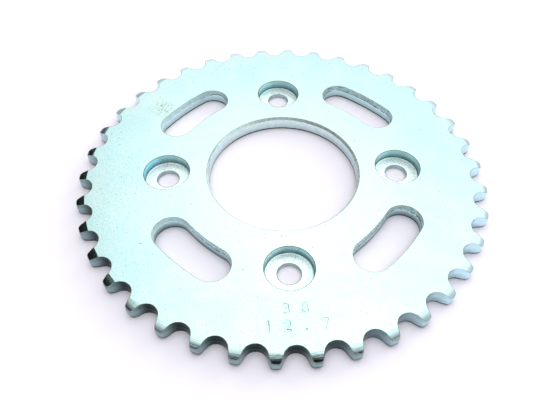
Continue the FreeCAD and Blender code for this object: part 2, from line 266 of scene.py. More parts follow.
def blanked_rows(loop, width, depth, wander, relieved=False, torn_from=None):
    """A blanked wall: rolled at the rear, smooth above, then torn, leaning back up to the front face.

    Torn_from is the span along TORN_SIDE over which the tear sets in, or None if it is all round.
    Returns the rows and how torn each point is, from 0 to 1.
    """
    def side_relief(inset):
        if not relieved:
            return np.zeros(len(loop.points))
        return relief(np.linalg.norm(loop.points + loop.into * np.reshape(inset, (-1, 1)), axis=1))

    along = np.column_stack((loop.points, np.zeros(len(loop.points))))
    foot = np.maximum(EDGE_ROLL, side_relief(0.0))
    top = THICKNESS - side_relief(0.0)
    line = THICKNESS - depth + wander * (speckle(along, 0.14) + 0.35 * speckle(along, 0.9))
    line = np.clip(line, foot + SCUFF + 0.2, top - LEDGE_RISE - 0.1)
    profile = [(EDGE_ROLL + SUPPORT, side_relief(EDGE_ROLL + SUPPORT))]
    for inset, drop in reversed(quarter(EDGE_ROLL, ROLL_STEPS)):
        profile.append((inset, np.maximum(drop, side_relief(inset))))
    for k in range(SMOOTH_BANDS):
        profile.append((0.0, foot + SCUFF + (line - foot - SCUFF) * k / (SMOOTH_BANDS - 1)))
    for k in range(TORN_BANDS):
        height = line + LEDGE_RISE + (top - line - LEDGE_RISE) * k / TORN_BANDS
        profile.append((LEDGE + (width - LEDGE) * (height - line) / (THICKNESS - line), height))
    lean = LEDGE + (width - LEDGE) * (top - line) / (THICKNESS - line)
    profile.append((lean, THICKNESS - side_relief(lean)))
    profile.append((lean + SUPPORT, THICKNESS - side_relief(lean + SUPPORT)))
    rows = loop.sweep(profile)

    torn = np.zeros(rows.shape[:2])
    part = rows[-TORN_BANDS - 2:-1]
    flat = part.reshape(-1, 3)
    ribs = RIB_SHARE * np.abs(speckle(flat, RIB_STRETCH))
    chips = CHIP_SHARE * np.maximum(speckle(flat, CHIP_STRETCH, 3) - CHIP_START, 0)
    roughness = (ribs + chips).reshape(part.shape[:2])
    present = np.ones(len(loop.points))
    if torn_from is not None:
        start, stop = torn_from
        present = np.clip((loop.points @ TORN_SIDE - start) / (stop - start), 0, 1)
    # The tear deepens towards the face, and bites the rim itself less than half as deep.
    fade = np.linspace(0.4, 1.0, len(part))[:, None]
    fade[-1] = 0.45
    fade = fade * present
    press_in(loop, part, TEAR_DEPTH * roughness * fade)
    press_in(loop, rows[-1:], TEAR_DEPTH * roughness[-1:] * fade[-1:])
    torn[-TORN_BANDS - 2:-1] = np.clip(TEAR_SHOWN + TEAR_GAIN * roughness, 0, 1)
    return rows, torn * present


def blanked_looks(look, rim_look, ledge_look):
    """The finish of each band of a blanked wall, with one for the ledge where the tear begins."""
    # The rear roll's bands carry painted shade.
    rear = [rim_look] + ["shaded_rolled_edge"] * (ROLL_STEPS + 1)
    return rear + [look] * (SMOOTH_BANDS - 1) + [ledge_look] + [look] * TORN_BANDS + ["burred_edge"]


def press_in(loop, rows, depth):
    """Move each point of swept rows into the metal by its own depth."""
    rows[:, :, :2] += loop.into[None] * depth[:, :, None]


def bolt_rows(loop):
    """The rows and finishes of a bolt hole, its seat, the fillet round it and the counterbore's wall."""
    ledge = COUNTERBORE - BOLT_HOLE
    profile = [(SUPPORT, 0.0)] + wall(0.0, SEAT_HEIGHT, HOLE_BANDS)
    profile += [(0.0, SEAT_HEIGHT), (HOLE_BURR, SEAT_HEIGHT)]
    profile += [(k * (ledge - COUNTERBORE_CORNER) / SEAT_BANDS, SEAT_HEIGHT) for k in range(1, SEAT_BANDS)]
    for inset, drop in reversed(quarter(COUNTERBORE_CORNER, CORNER_STEPS)):
        profile.append((ledge - inset, SEAT_HEIGHT + drop))
    mouth = THICKNESS - COUNTERBORE_BREAK
    rise = (mouth - SEAT_HEIGHT - COUNTERBORE_CORNER) / COUNTERBORE_BANDS
    for k in range(1, COUNTERBORE_BANDS + 1):
        profile.append((ledge, SEAT_HEIGHT + COUNTERBORE_CORNER + k * rise))
    profile.append((ledge + COUNTERBORE_BREAK, THICKNESS))
    rows = loop.sweep(profile + [(ledge + COUNTERBORE_BREAK + SUPPORT, THICKNESS)])
    looks = ["plated_face"] + ["machined_seat"] * (len(rows) - 4) + ["burred_edge"] * 2
    # The wall's finish takes in the upper half of the fillet.
    wall_bands = COUNTERBORE_BANDS + CORNER_STEPS // 2
    looks[-wall_bands - 2:-2] = ["counterbore_wall"] * wall_bands
    looks[1:1 + HOLE_BANDS] = ["drilled_hole"] * HOLE_BANDS
    looks[1 + HOLE_BANDS] = "burred_edge"
    return rows, looks


# Stamped numerals: the tooth count and the chain pitch, as strokes in a box one unit high

def bend(centre_x, centre_y, radius, start, stop):
    """Points along a curved stroke, by angles in degrees."""
    angles = np.radians(np.linspace(start, stop, 16))
    return [(centre_x + radius * math.cos(angle), centre_y + radius * math.sin(angle)) for angle in angles]


STROKES = {
    "1": [[(0.12, 0.8), (0.32, 1.0), (0.32, 0.0)]],
    "2": [bend(0.3, 0.72, 0.28, 165, -35) + [(0.04, 0.0)], [(0.04, 0.0), (0.6, 0.0)]],
    "3": [bend(0.28, 0.76, 0.24, 140, -90), bend(0.28, 0.26, 0.26, 90, -140)],
    "7": [[(0.02, 1.0), (0.58, 1.0), (0.24, 0.0)]],
    "8": [bend(0.3, 0.77, 0.23, 0, 360), bend(0.3, 0.27, 0.27, 0, 360)],
    ".": [[(0.3, 0.03), (0.3, 0.05)]],
}


def stamp_points(text, middle, turn):
    """Points along every stroke of a line of numerals, close enough to read as a line."""
    points = []
    for place, character in enumerate(text):
        left = (place - (len(text) - 1) / 2) * STAMP_ADVANCE - 0.3 * STAMP_HEIGHT
        for stroke in STROKES[character]:
            for start, stop in zip(stroke, stroke[1:]):
                start, stop = np.array(start), np.array(stop)
                count = max(2, math.ceil(np.hypot(*(stop - start)) * STAMP_HEIGHT / STAMP_STEP))
                for share in np.linspace(0, 1, count):
                    spot = (start + share * (stop - start)) * STAMP_HEIGHT
                    points.append(spot + (left, -STAMP_HEIGHT / 2))
    return turned(np.array(points), turn) + middle


def stamps():
    """The stamped lines, near the edge of the plate on the -Y side."""
    return np.vstack([stamp_points(text, middle, math.radians(lean)) for text, middle, lean in STAMP_LINES])


def nearest(points, targets):
    """Distance from each point to the nearest of the targets."""
    tree = kdtree.KDTree(len(targets))
    for index, target in enumerate(targets):
        tree.insert((target[0], target[1], 0), index)
    tree.balance()
    return np.array([tree.find((point[0], point[1], 0))[2] for point in points])


def stamp_depth(points, strokes):
    """How deep the stamp has pressed at each point of the face."""
    reach = np.clip((STAMP_HALF_WIDTH - nearest(points, strokes)) / STAMP_SLOPE, 0, 1)
    force = 1 + 0.6 * speckle(np.column_stack((points, np.zeros(len(points)))), (0.35, 0.35, 0), 1)
    return STAMP_DEPTH * force * reach ** 2 * (3 - 2 * reach)


# The mesh

class Skin:
    """Gathers the vertices and faces of one mesh, with a material name for each face."""

    def __init__(self):
        self.blocks = []
        self.faces = []
        self.looks = []
        self.torn = []
        self.count = 0

    def add_vertices(self, block, torn):
        """Keep some vertices, and how torn each is, and return their numbers."""
        numbers = self.count + np.arange(len(block))
        self.blocks.append(block)
        self.torn.append(torn)
        self.count += len(block)
        return numbers

    def add_rows(self, loop, rows, torn, looks):
        """Join each row of a swept outline to the next. Returns the first and last rows' numbers."""
        numbers = self.add_vertices(rows.reshape(-1, 3), torn.ravel()).reshape(rows.shape[:2])
        for band, look in enumerate(looks):
            lower, upper = numbers[band], numbers[band + 1]
            quads = np.column_stack((lower, np.roll(lower, -1), np.roll(upper, -1), upper))
            if loop.hole:
                quads = quads[:, ::-1]
            self.faces += quads.tolist()
            self.looks += [look] * len(quads)
        return numbers[0], numbers[-1]

    def add_sheet(self, rims, inner, height, rear, look):
        """Fill the metal between closed rims with triangles that also use the inner points."""
        plane = [np.vstack(self.blocks)[rim][:, :2] for rim in rims]
        edges = []
        start = 0
        for rim in rims:
            edges += [(start + k, start + (k + 1) % len(rim)) for k in range(len(rim))]
            start += len(rim)
        inner_numbers = self.add_vertices(np.column_stack((inner, height(inner))), np.zeros(len(inner)))
        numbers = np.concatenate(rims + [inner_numbers])
        points = np.vstack(plane + [inner])
        _, _, faces, sources, _, _ = delaunay_2d_cdt([Vector(point) for point in points], edges, [], 0, 1e-7)
        origin = np.array([source[0] for source in sources])
        triangles = origin[np.array(faces)]
        middles = points[triangles].mean(axis=1)
        metal = inside(middles, plane[0])
        for hole in plane[1:]:
            metal &= ~inside(middles, hole)
        kept = numbers[triangles[metal]]
        self.faces += (kept[:, ::-1] if rear else kept).tolist()
        self.looks += look(middles[metal])

    @staticmethod
    def crease(mesh, order, first, second):
        """Keep the line where one finish meets another crisp."""
        look = np.zeros(len(mesh.polygons), int)
        mesh.polygons.foreach_get("material_index", look)
        corners = np.zeros(len(mesh.polygons), int)
        mesh.polygons.foreach_get("loop_total", corners)
        edge = np.zeros(len(mesh.loops), int)
        mesh.loops.foreach_get("edge_index", edge)
        beside = np.repeat(look, corners)
        touched = [np.bincount(edge[beside == order.index(part)], minlength=len(mesh.edges)) > 0
                   for part in (first, second)]
        sharp = np.zeros(len(mesh.edges), bool)
        mesh.edges.foreach_get("use_edge_sharp", sharp)
        mesh.edges.foreach_set("use_edge_sharp", sharp | (touched[0] & touched[1]))

    def build(self, name, materials):
        """The finished object."""
        mesh = bpy.data.meshes.new(name)
        mesh.from_pydata((np.vstack(self.blocks) * MM).tolist(), [], self.faces)
        order = list(materials)
        for look in order:
            mesh.materials.append(materials[look])
        mesh.polygons.foreach_set("material_index", [order.index(look) for look in self.looks])
        mesh.polygons.foreach_set("use_smooth", [True] * len(self.faces))
        mesh.attributes.new("torn", "FLOAT", "POINT").data.foreach_set("value", np.concatenate(self.torn))
        mesh.set_sharp_from_angle(angle=SHARP_ANGLE)
        self.crease(mesh, order, "plated_face", "turned_relief")
        mesh.validate()
        made = bpy.data.objects.new(name, mesh)
        bpy.context.scene.collection.objects.link(made)
        return made


def inside(points, outline):
    """Whether each point lies inside a closed outline, by counting crossings."""
    x, y = points[:, 0], points[:, 1]
    odd = np.zeros(len(points), bool)
    for (ax, ay), (bx, by) in zip(outline, np.roll(outline, -1, axis=0)):
        if ay != by:
            odd ^= ((ay > y) != (by > y)) & (x < (bx - ax) * (y - ay) / (by - ay) + ax)
    return odd


def honeycomb(reach, gap):
    """A triangular grid over a square round the axis."""
    points = []
    for row, y in enumerate(np.arange(-reach, reach, gap * math.sqrt(3) / 2)):
        x = np.arange(-reach, reach, gap) + (row % 2) * gap / 2
        points.append(np.column_stack((x, np.full(len(x), y))))
    return np.vstack(points)


def inner_points(rims, strokes, grid, ring_gap):
    """Points to triangulate through: rings on the side relief, a grid inside, a fine grid at the stamps."""
    radii = np.arange(RELIEF_START, OUTSIDE, ring_gap)
    rings = [arc((0, 0), radius, 0, 2 * math.pi, ring_gap) for radius in radii]
    coarse = honeycomb(RELIEF_START, grid)
    coarse = coarse[np.linalg.norm(coarse, axis=1) < RELIEF_START - ring_gap]
    clear = [np.vstack(rings), coarse]
    if len(strokes):
        apart = STAMP_HALF_WIDTH + STAMP_GRID
        clear[1] = coarse[nearest(coarse, strokes) > apart + STAMP_GRID]
        low, high = strokes.min(axis=0) - apart, strokes.max(axis=0) + apart
        fine = honeycomb(RELIEF_START, STAMP_GRID)
        fine = fine[((fine > low) & (fine < high)).all(axis=1)]
        clear.append(fine[nearest(fine, strokes) < apart])
    points = np.vstack(clear)
    edge = np.vstack(rims)
    points = points[nearest(points, edge) > RIM_MARGIN]
    metal = inside(points, rims[0])
    for hole in rims[1:]:
        metal &= ~inside(points, hole)
    return points[metal]


def plate_look(middles):
    """Which finish each part of a face has, by its place."""
    turned_part = np.linalg.norm(middles, axis=1) > RELIEF_START
    return ["turned_relief" if part else "plated_face" for part in turned_part]


def make_plate(materials):
    """The sprocket plate, swept round each outline and closed by its two faces."""
    skin = Skin()
    rear_rims = []
    front_rims = []

    def add(loop, rows, torn, looks):
        rear, front = skin.add_rows(loop, rows, torn, looks)
        rear_rims.append(rear)
        front_rims.append(front)

    teeth = tooth_loop()
    rows, torn = blanked_rows(teeth, FLARE_WIDTH, FLARE_DEPTH, TOOTH_WANDER, relieved=True)
    add(teeth, rows, torn, blanked_looks("tooth_wall", "turned_relief", "tooth_wall"))
    bore = round_loop((0, 0), BORE, ROUND_STEP)
    rows, torn = blanked_rows(bore, BORE_FLARE_WIDTH, BORE_FLARE_DEPTH, BORE_WANDER, torn_from=BORE_TORN_FROM)
    add(bore, rows, torn, blanked_looks("bore_wall", "plated_face", "bore_wall"))
    for loop in slot_loops():
        rows, torn = blanked_rows(loop, FLARE_WIDTH, FLARE_DEPTH, SLOT_WANDER)
        add(loop, rows, torn, blanked_looks("slot_wall", "plated_face", "ledge"))
    for loop in bolt_loops():
        rows, looks = bolt_rows(loop)
        add(loop, rows, np.zeros(rows.shape[:2]), looks)

    strokes = stamps()
    vertices = np.vstack(skin.blocks)
    front = inner_points([vertices[rim][:, :2] for rim in front_rims], strokes, GRID, RING_GAP)
    rear = inner_points([vertices[rim][:, :2] for rim in rear_rims], [], 2 * GRID, 2 * RING_GAP)

    def front_height(points):
        return THICKNESS - relief(np.linalg.norm(points, axis=1)) - stamp_depth(points, strokes)

    def rear_height(points):
        return relief(np.linalg.norm(points, axis=1))

    skin.add_sheet(front_rims, front, front_height, False, plate_look)
    skin.add_sheet(rear_rims, rear, rear_height, True, plate_look)
    return skin.build("sprocket_plate_detailed", materials)


# Materials

class Shader:
    """A node material built step by step."""

    def __init__(self, name, rough, tint):
        self.material = bpy.data.materials.new(name)
        self.material.use_nodes = True
        self.tree = self.material.node_tree
        self.surface = self.tree.nodes["Principled BSDF"]
        self.surface.inputs["Metallic"].default_value = 1.0
        self.surface.inputs["Roughness"].default_value = rough
        self.surface.inputs["Base Color"].default_value = (*tint, 1.0)
        self.place = self.add("ShaderNodeTexCoord").outputs["Object"]

    def add(self, kind, links=None, **values):
        """A node, with its attributes and sockets set and its inputs linked."""
        made = self.tree.nodes.new(kind)
        for key, value in values.items():
            if key in made.inputs:
                made.inputs[key].default_value = value
            else:
                setattr(made, key, value)
        for socket, source in (links or {}).items():
            self.tree.links.new(source, made.inputs[socket])
        return made

    def noise(self, size, detail=2.0, roughness=0.5, place=None):
        """Noise from 0 to 1 whose grain is about the given number of millimetres."""
        made = self.add("ShaderNodeTexNoise", {"Vector": place or self.place})
        made.inputs["Scale"].default_value = 1 / (size * MM)
        made.inputs["Detail"].default_value = detail
        made.inputs["Roughness"].default_value = roughness
        return made.outputs["Fac"]

    def stretched(self, x, y, z):
        """The place, stretched along the axes."""
        made = self.add("ShaderNodeVectorMath", {0: self.place}, operation="MULTIPLY")
        made.inputs[1].default_value = (x, y, z)
        return made.outputs["Vector"]

    def math(self, operation, first, second=0.0, third=0.0):
        """One sum on sockets or numbers."""
        made = self.add("ShaderNodeMath", operation=operation)
        for socket, value in enumerate((first, second, third)):
            if isinstance(value, (int, float)):
                made.inputs[socket].default_value = value
            else:
                self.tree.links.new(value, made.inputs[socket])
        return made.outputs[0]

    def span(self, source, low, high, new_low=0.0, new_high=1.0):
        """Map a range of a socket's values onto another, clamped and smoothed."""
        made = self.add("ShaderNodeMapRange", {"Value": source}, interpolation_type="SMOOTHSTEP")
        for name, value in (("From Min", low), ("From Max", high), ("To Min", new_low), ("To Max", new_high)):
            made.inputs[name].default_value = value
        return made.outputs["Result"]

    def between(self, source, places, new_low=0.0, new_high=1.0):
        """The same for a range of places, in millimetres."""
        low, high = places
        return self.span(source, low * MM, high * MM, new_low, new_high)

    def mix(self, factor, first, second):
        """Blend two colours, each a socket or a triple."""
        made = self.add("ShaderNodeMix", data_type="RGBA")
        self.tree.links.new(factor, made.inputs["Factor"])
        for name, value in (("A", first), ("B", second)):
            socket = next(entry for entry in made.inputs if entry.name == name and entry.type == "RGBA")
            if isinstance(value, tuple):
                socket.default_value = (*value, 1.0)
            else:
                self.tree.links.new(value, socket)
        return next(entry for entry in made.outputs if entry.type == "RGBA")

    def radius(self):
        """Distance from the bore's axis, in metres."""
        flat = self.stretched(1, 1, 0)
        return self.add("ShaderNodeVectorMath", {0: flat}, operation="LENGTH").outputs["Value"]

    def axes(self):
        """The place's X, Y and Z, in metres."""
        return self.add("ShaderNodeSeparateXYZ", {"Vector": self.place}).outputs

    def along(self, side):
        """How far the place lies from the axis towards one side, in metres."""
        made = self.add("ShaderNodeVectorMath", {0: self.place}, operation="DOT_PRODUCT")
        made.inputs[1].default_value = side
        return made.outputs["Value"]

    def torn(self):
        """How torn the wall is, from 0 to 1."""
        return self.add("ShaderNodeAttribute", attribute_name="torn").outputs["Fac"]

    def finish(self, colour, roughness=None, bumps=()):
        """Connect the colour, the roughness and the bumps, which are (height, millimetres, strength)."""
        self.tree.links.new(colour, self.surface.inputs["Base Color"])
        if roughness is not None:
            self.tree.links.new(roughness, self.surface.inputs["Roughness"])
        normal = None
        for height, distance, strength in bumps:
            made = self.add("ShaderNodeBump", {"Height": height}, Strength=strength, Distance=distance * MM)
            if normal is not None:
                self.tree.links.new(normal, made.inputs["Normal"])
            normal = made.outputs["Normal"]
        if normal is not None:
            self.tree.links.new(normal, self.surface.inputs["Normal"])
        return self.material


# Tints
ZINC = (0.75, 0.95, 0.96)
ZINC_COOL = (0.70, 0.94, 0.96)
ZINC_WARM = (0.78, 0.96, 0.94)
ZINC_HIGHLIGHT = (0.83, 0.97, 0.96)
GRAIN = (0.40, 0.64, 0.66)
SPECK = (0.25, 0.36, 0.38)
BROWN = (0.34, 0.31, 0.17)
RELIEF_TINT = (0.70, 0.93, 0.95)
# Painted dark reflections on the turned tooth sides: towards the tips, on the near teeth and on the -X +Y
# side
RELIEF_TIP_SHADE = (0.42, 0.50, 0.54)
RELIEF_NEAR_SHADE = (0.10, 0.10, 0.11)
RELIEF_LEFT_SHADE = (0.34, 0.44, 0.47)
SEAT_TINT = (0.82, 0.96, 0.96)
SEAT_COOL = (0.76, 0.94, 0.95)
DRILLED = (0.34, 0.42, 0.43)
WALL_TOP = (0.52, 0.74, 0.76)
# A painted blue reflection and painted shade on the counterbores' walls
WALL_BLUE_REFLECTION = (0.34, 0.74, 0.92)
WALL_FOOT_SHADE = (0.16, 0.30, 0.33)
BURNISHED = (0.62, 0.86, 0.86)
BURNISHED_TOOTH = (0.60, 0.84, 0.90)
BORE_TINT = (0.74, 0.93, 0.94)
TORN = (0.52, 0.70, 0.72)
TORN_BORE = (0.50, 0.54, 0.46)
TORN_TOOTH = (0.06, 0.08, 0.08)
# Painted shade on the tooth walls in the gaps on the -X -Y side: dark at the root, lighter towards the tips
TOOTH_SHADE = (0.004, 0.02, 0.022)
TOOTH_SHADE_TIP = (0.28, 0.40, 0.40)
# Painted shade at the foot of the blanked walls
FOOT_SHADE = (0.10, 0.17, 0.19)
LEDGE_DARK = (0.02, 0.03, 0.03)
# Painted highlight along the ledge
LEDGE_GLINT = (0.85, 0.95, 0.97)
# The rear roll's dark tint: painted shade of the gap under the plate
ROLLED_SHADE = (0.05, 0.07, 0.075)
BURR = (0.16, 0.17, 0.12)
PAPER = (0.665, 0.647, 0.712)
PAPER_PALE = (0.675, 0.657, 0.717)

# Where the finishes and the painted light and shade change, and the sides towards which they do
HIGHLIGHT_RING = (30, 62)
GRAIN_SIDE = Vector((-0.87, -0.5, 0.0))
GRAIN_REACH = 70
STAIN_PLACE = Vector((-49.8, 37.0, THICKNESS))
STAIN_REACH = 7
TEAR_ACROSS = (-55, 25)
# The heights and the span across the plate of the painted shade at the walls' foot
FOOT_SHADE_HEIGHTS = (0.3, 4.5)
FOOT_SHADE_ACROSS = (-20, 20)
# The side and reach of the painted shade on the tooth walls, and where it lightens towards the tips
TOOTH_SHADE_SIDE = Vector((-0.6, -0.8, 0.0))
TOOTH_SHADE_REACH = 60
TOOTH_SHADE_TIPS = (OUTSIDE - 5.5, OUTSIDE - 1.0)
# Where the ledge's painted glints run, on the -X side
LEDGE_GLINT_SIDE = (-38, -30)
# The side, span and tips of the painted dark reflections on the turned tooth sides
RELIEF_SHADE_SIDE = Vector((-0.87, 0.5, 0.0))
RELIEF_LEFT_SHADE_SPAN = (69, 77)
RELIEF_TIP_SHADE_SPAN = (OUTSIDE - 2.4, OUTSIDE - 0.8)
RELIEF_NEAR_SHADE_SPAN = (-74, -62)
# The heights of the painted shade, and the side of the painted blue reflection, on the counterbore walls
WALL_RISE = (SEAT_HEIGHT + 0.1, THICKNESS - 0.6)
WALL_REFLECTION_SIDE = (-54, -42)


def plated_face():
    """Bright zinc on rolled plate: satin, with fine grain, faint cloudiness, specks and one small stain, and
    a painted highlight that pales it round the bore.
    """
    shader = Shader("plated_face", 0.3, ZINC)
    cloud = shader.span(shader.noise(12, 4.0), 0.3, 0.7)
    tint = shader.mix(cloud, ZINC_COOL, ZINC_WARM)
    # A painted highlight: paler round the bore, fading out by 62 mm from the axis.
    tint = shader.mix(shader.between(shader.radius(), HIGHLIGHT_RING, 0.6, 0.0), tint, ZINC_HIGHLIGHT)
    sideways = shader.between(shader.along(GRAIN_SIDE), (0, GRAIN_REACH), 0.2, 0.6)
    patches = shader.span(shader.noise(22, 2.0), 0.30, 0.60, 0.6, 1.0)
    fine = shader.span(shader.noise(0.42, 1.0), 0.45, 0.68)
    grained = shader.math("MULTIPLY", fine, shader.math("MULTIPLY", sideways, patches))
    tint = shader.mix(grained, tint, GRAIN)
    pits = shader.span(shader.noise(0.8, 1.0), 0.74, 0.79)
    tint = shader.mix(pits, tint, SPECK)
    gap = shader.add("ShaderNodeVectorMath", {0: shader.place}, operation="SUBTRACT")
    gap.inputs[1].default_value = STAIN_PLACE * MM
    far = shader.add("ShaderNodeVectorMath", {0: gap.outputs["Vector"]}, operation="LENGTH").outputs["Value"]
    near = shader.between(far, (0, STAIN_REACH), 1.0, 0.0)
    blots = shader.span(shader.noise(1.0, 3.0, 0.7), 0.48, 0.62, 0.0, 0.8)
    tint = shader.mix(shader.math("MULTIPLY", near, blots), tint, BROWN)
    grain = shader.noise(0.4, 3.0, 0.6)
    roughness = shader.span(grain, 0.3, 0.7, 0.26, 0.38)
    swell = shader.noise(14, 2.0)
    return shader.finish(tint, roughness, ((swell, 0.5, 0.08), (grain, 0.02, 0.3)))


def walls(name, smooth, torn, rough, shade):
    """A blanked wall under thin plating: burnished below, grey and cracked where it is torn, and darkened by
    painted shade at its foot.

    Shade is how dark the painted shade at the foot of the wall is, from 0 to 1, on the near and the far side
    of the plate.
    """
    shader = Shader(name, rough, torn)
    amount = shader.torn()
    cracks = shader.noise(0.6, 3.0, 0.6, shader.stretched(0.35, 0.35, 1.2))
    grit = shader.noise(0.5, 2.0, 0.6)
    mottle = shader.noise(1.4, 3.0)
    pale = shader.mix(shader.span(mottle, 0.35, 0.65, 0.0, 0.3), smooth, torn)
    open_parts = shader.math("MULTIPLY", shader.span(cracks, 0.36, 0.48), shader.span(grit, 0.32, 0.44))
    darker = tuple(0.35 * part for part in torn)
    ragged = shader.mix(open_parts, darker, torn)
    place = shader.axes()
    shown = shader.math("MULTIPLY", amount, shader.between(place["X"], TEAR_ACROSS, 0.25, 1.0))
    tint = shader.mix(shown, pale, ragged)
    # Painted shade at the foot of the wall, deeper on one side of the plate.
    foot = shader.between(place["Z"], FOOT_SHADE_HEIGHTS, 1.0, 0.0)
    side = shader.between(place["Y"], FOOT_SHADE_ACROSS, *shade)
    tint = shader.mix(shader.math("MULTIPLY", foot, side), tint, FOOT_SHADE)
    roughness = shader.math("MULTIPLY_ADD", amount, 0.3, rough)
    shader.tree.links.new(shader.math("MULTIPLY_ADD", amount, -0.6, 1.0), shader.surface.inputs["Metallic"])
    coarse = shader.math("MULTIPLY", cracks, amount)
    return shader.finish(tint, roughness, ((mottle, 0.1, 0.15), (coarse, 0.2, 0.7)))


def tooth_walls():
    """The blanked tooth walls, with painted shade in the gaps towards one side of the ring, lighter towards
    the tips.
    """
    shader = Shader("tooth_wall", 0.3, BURNISHED)
    amount = shader.torn()
    shaded = shader.between(shader.along(TOOTH_SHADE_SIDE), (0, TOOTH_SHADE_REACH))
    tip = shader.between(shader.radius(), TOOTH_SHADE_TIPS)
    mottle = shader.noise(1.2, 3.0)
    # Painted shade: darker on the -X -Y side of the ring, and lighter towards the tips.
    tint = shader.mix(shaded, BURNISHED_TOOTH, shader.mix(tip, TOOTH_SHADE, TOOTH_SHADE_TIP))
    streaks = shader.span(shader.noise(0.5, 3.0, 0.6), 0.40, 0.60, 0.0, 0.5)
    # Dark torn streaks, which show only where the painted shade lies.
    shown = shader.math("MULTIPLY", streaks, shader.math("MULTIPLY", amount, shaded))
    tint = shader.mix(shown, tint, TORN_TOOTH)
    roughness = shader.math("MULTIPLY_ADD", shown, 0.3, 0.3)
    return shader.finish(tint, roughness, ((mottle, 0.1, 0.2),))


def ledge():
    """The broken line where a wall's smooth part ends: a dark crack in places, a painted highlight in others,
    and on the -X side torn grey with painted glints.
    """
    shader = Shader("ledge", 0.3, LEDGE_GLINT)
    along = shader.span(shader.noise(3.0, 2.0), 0.46, 0.54)
    glint = shader.span(shader.noise(0.7, 1.0), 0.45, 0.55)
    left = shader.between(shader.axes()["X"], LEDGE_GLINT_SIDE, 1.0, 0.0)
    step = shader.mix(shader.math("MULTIPLY", along, glint), LEDGE_DARK, LEDGE_GLINT)
    shader.surface.inputs["Metallic"].default_value = 0.6
    return shader.finish(shader.mix(left, step, shader.mix(glint, TORN, LEDGE_GLINT)))


def dull_edge(name, tint):
    """A narrow edge with thin, dull plating, or, on the rear roll, a dark tint that is painted shade."""
    shader = Shader(name, 0.5, tint)
    lighter = tuple(1.8 * part for part in tint)
    return shader.finish(shader.mix(shader.noise(2.0, 2.0), tint, lighter))


def turned_relief():
    """The turned tooth sides, nearly polished, with circular tool marks of uneven depth, and painted dark
    reflections: towards the tips, in streaks on the near teeth, and on the -X +Y side of the ring.
    """
    shader = Shader("turned_relief", 0.1, ZINC)
    place = shader.axes()
    bearing = shader.math("MULTIPLY", shader.math("ARCTAN2", place["Y"], place["X"]), 3 * MM)
    rings = shader.add("ShaderNodeCombineXYZ", {"X": shader.radius(), "Y": bearing}).outputs["Vector"]
    marks = shader.noise(0.5, 3.0, 0.7, rings)
    chatter = shader.noise(0.9, 2.0)
    # Painted dark reflection on the -X +Y side of the ring.
    left_shade = shader.between(shader.along(RELIEF_SHADE_SIDE), RELIEF_LEFT_SHADE_SPAN)
    tint = shader.mix(shader.span(marks, 0.35, 0.65), RELIEF_TINT, ZINC_WARM)
    # Painted dark reflection towards the tips, in streaks on the near teeth.
    tip = shader.between(shader.radius(), RELIEF_TIP_SHADE_SPAN, 0.0, 0.85)
    near = shader.between(place["Y"], RELIEF_NEAR_SHADE_SPAN, 1.0, 0.0)
    streaks = shader.math("MULTIPLY", near, shader.span(marks, 0.45, 0.55))
    end = shader.mix(streaks, RELIEF_TIP_SHADE, RELIEF_NEAR_SHADE)
    tint = shader.mix(left_shade, shader.mix(tip, tint, end), RELIEF_LEFT_SHADE)
    roughness = shader.span(chatter, 0.3, 0.7, 0.06, 0.14)
    return shader.finish(tint, roughness, ((marks, 0.09, 0.8), (chatter, 0.03, 0.4)))


def machined_seat():
    """The counterbores' floors: pale, finely cut metal."""
    shader = Shader("machined_seat", 0.3, ZINC)
    grain = shader.noise(0.4, 3.0, 0.6)
    pits = shader.span(shader.noise(0.5, 2.0), 0.52, 0.66, 0.0, 0.5)
    pale = shader.mix(shader.span(shader.noise(5, 2.0), 0.4, 0.6), SEAT_TINT, SEAT_COOL)
    tint = shader.mix(pits, pale, SPECK)
    shader.surface.inputs["Metallic"].default_value = 0.45
    return shader.finish(tint, shader.span(grain, 0.3, 0.7, 0.24, 0.38), ((grain, 0.03, 0.3),))


def counterbore_wall():
    """The counterbores' walls: cut metal, with painted shade towards the floor and a painted blue reflection
    on the -X side of the plate.
    """
    shader = Shader("counterbore_wall", 0.22, WALL_TOP)
    place = shader.axes()
    rise = shader.between(place["Z"], WALL_RISE)
    marks = shader.noise(0.5, 2.0, 0.5, shader.stretched(0.3, 0.3, 1.5))
    # A painted blue reflection on the -X side, and painted shade towards the floor.
    blue = shader.between(place["X"], WALL_REFLECTION_SIDE, 1.0, 0.0)
    tint = shader.mix(rise, WALL_FOOT_SHADE, shader.mix(blue, WALL_TOP, WALL_BLUE_REFLECTION))
    return shader.finish(tint, None, ((marks, 0.03, 0.4),))


def floor_paint():
    """Matt white paper with a faint lavender cast and hardly any grain."""
    shader = Shader("floor_paper", 0.9, PAPER)
    shader.surface.inputs["Metallic"].default_value = 0.0
    shader.surface.inputs["Specular IOR Level"].default_value = 0.0
    return shader.finish(shader.mix(shader.noise(40, 2.0), PAPER, PAPER_PALE))


# Stage

CAMERA_AZIMUTH = math.radians(3.54)
CAMERA_ELEVATION = math.radians(51.92)
CAMERA_ROLL = math.radians(1.2146)
CAMERA_DISTANCE = 195.56
CAMERA_TARGET = Vector((-2.124, -20.168, THICKNESS))
CAMERA_LENS = 34.35
CAMERA_SENSOR = 36
CAMERA_NEAR = 10
FLOOR_REACH = 2500
FLOOR_GAP = 0.01


